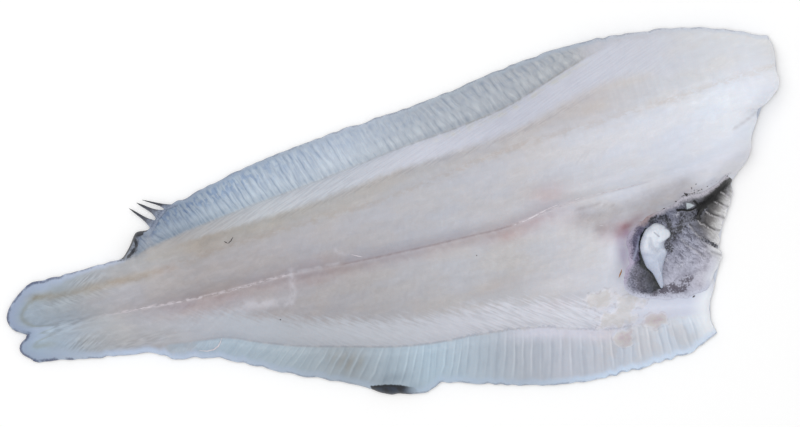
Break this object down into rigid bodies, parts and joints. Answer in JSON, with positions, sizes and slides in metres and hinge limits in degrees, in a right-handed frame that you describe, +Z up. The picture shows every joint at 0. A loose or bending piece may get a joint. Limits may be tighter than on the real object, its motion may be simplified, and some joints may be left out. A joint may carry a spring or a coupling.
{
  "type": "skin-on halibut fillet",
  "caption": "Whole raw halibut fillet lying skin side down, with a tapered tail, a central seam, ribbed fin-muscle edges and a dark-lined belly hollow at the cut head end.",
  "frame": {"origin": "under the middle of the fillet's outline, on the surface it lies on", "axes": "+X from the tail to the cut head end, +Y from the belly fin edge to the back fin edge, +Z up through the flesh"},
  "size_m": [0.5658, 0.2322, 0.0339],
  "materials": {
    "fish_skin": "wet grey-brown fish skin with pale blue-grey translucent edges",
    "raw_flesh": "moist translucent white flesh, blue-grey where thin and faintly pink at the seam",
    "belly_membrane": "moist mottled grey membrane, near black in its folds",
    "soft_fat": "moist white fat"
  },
  "bodies": {
    "root": {"skin": "fish_skin", "flesh": "raw_flesh", "belly_lining": "belly_membrane", "fat_lump": "soft_fat"}
  },
  "joints": []
}
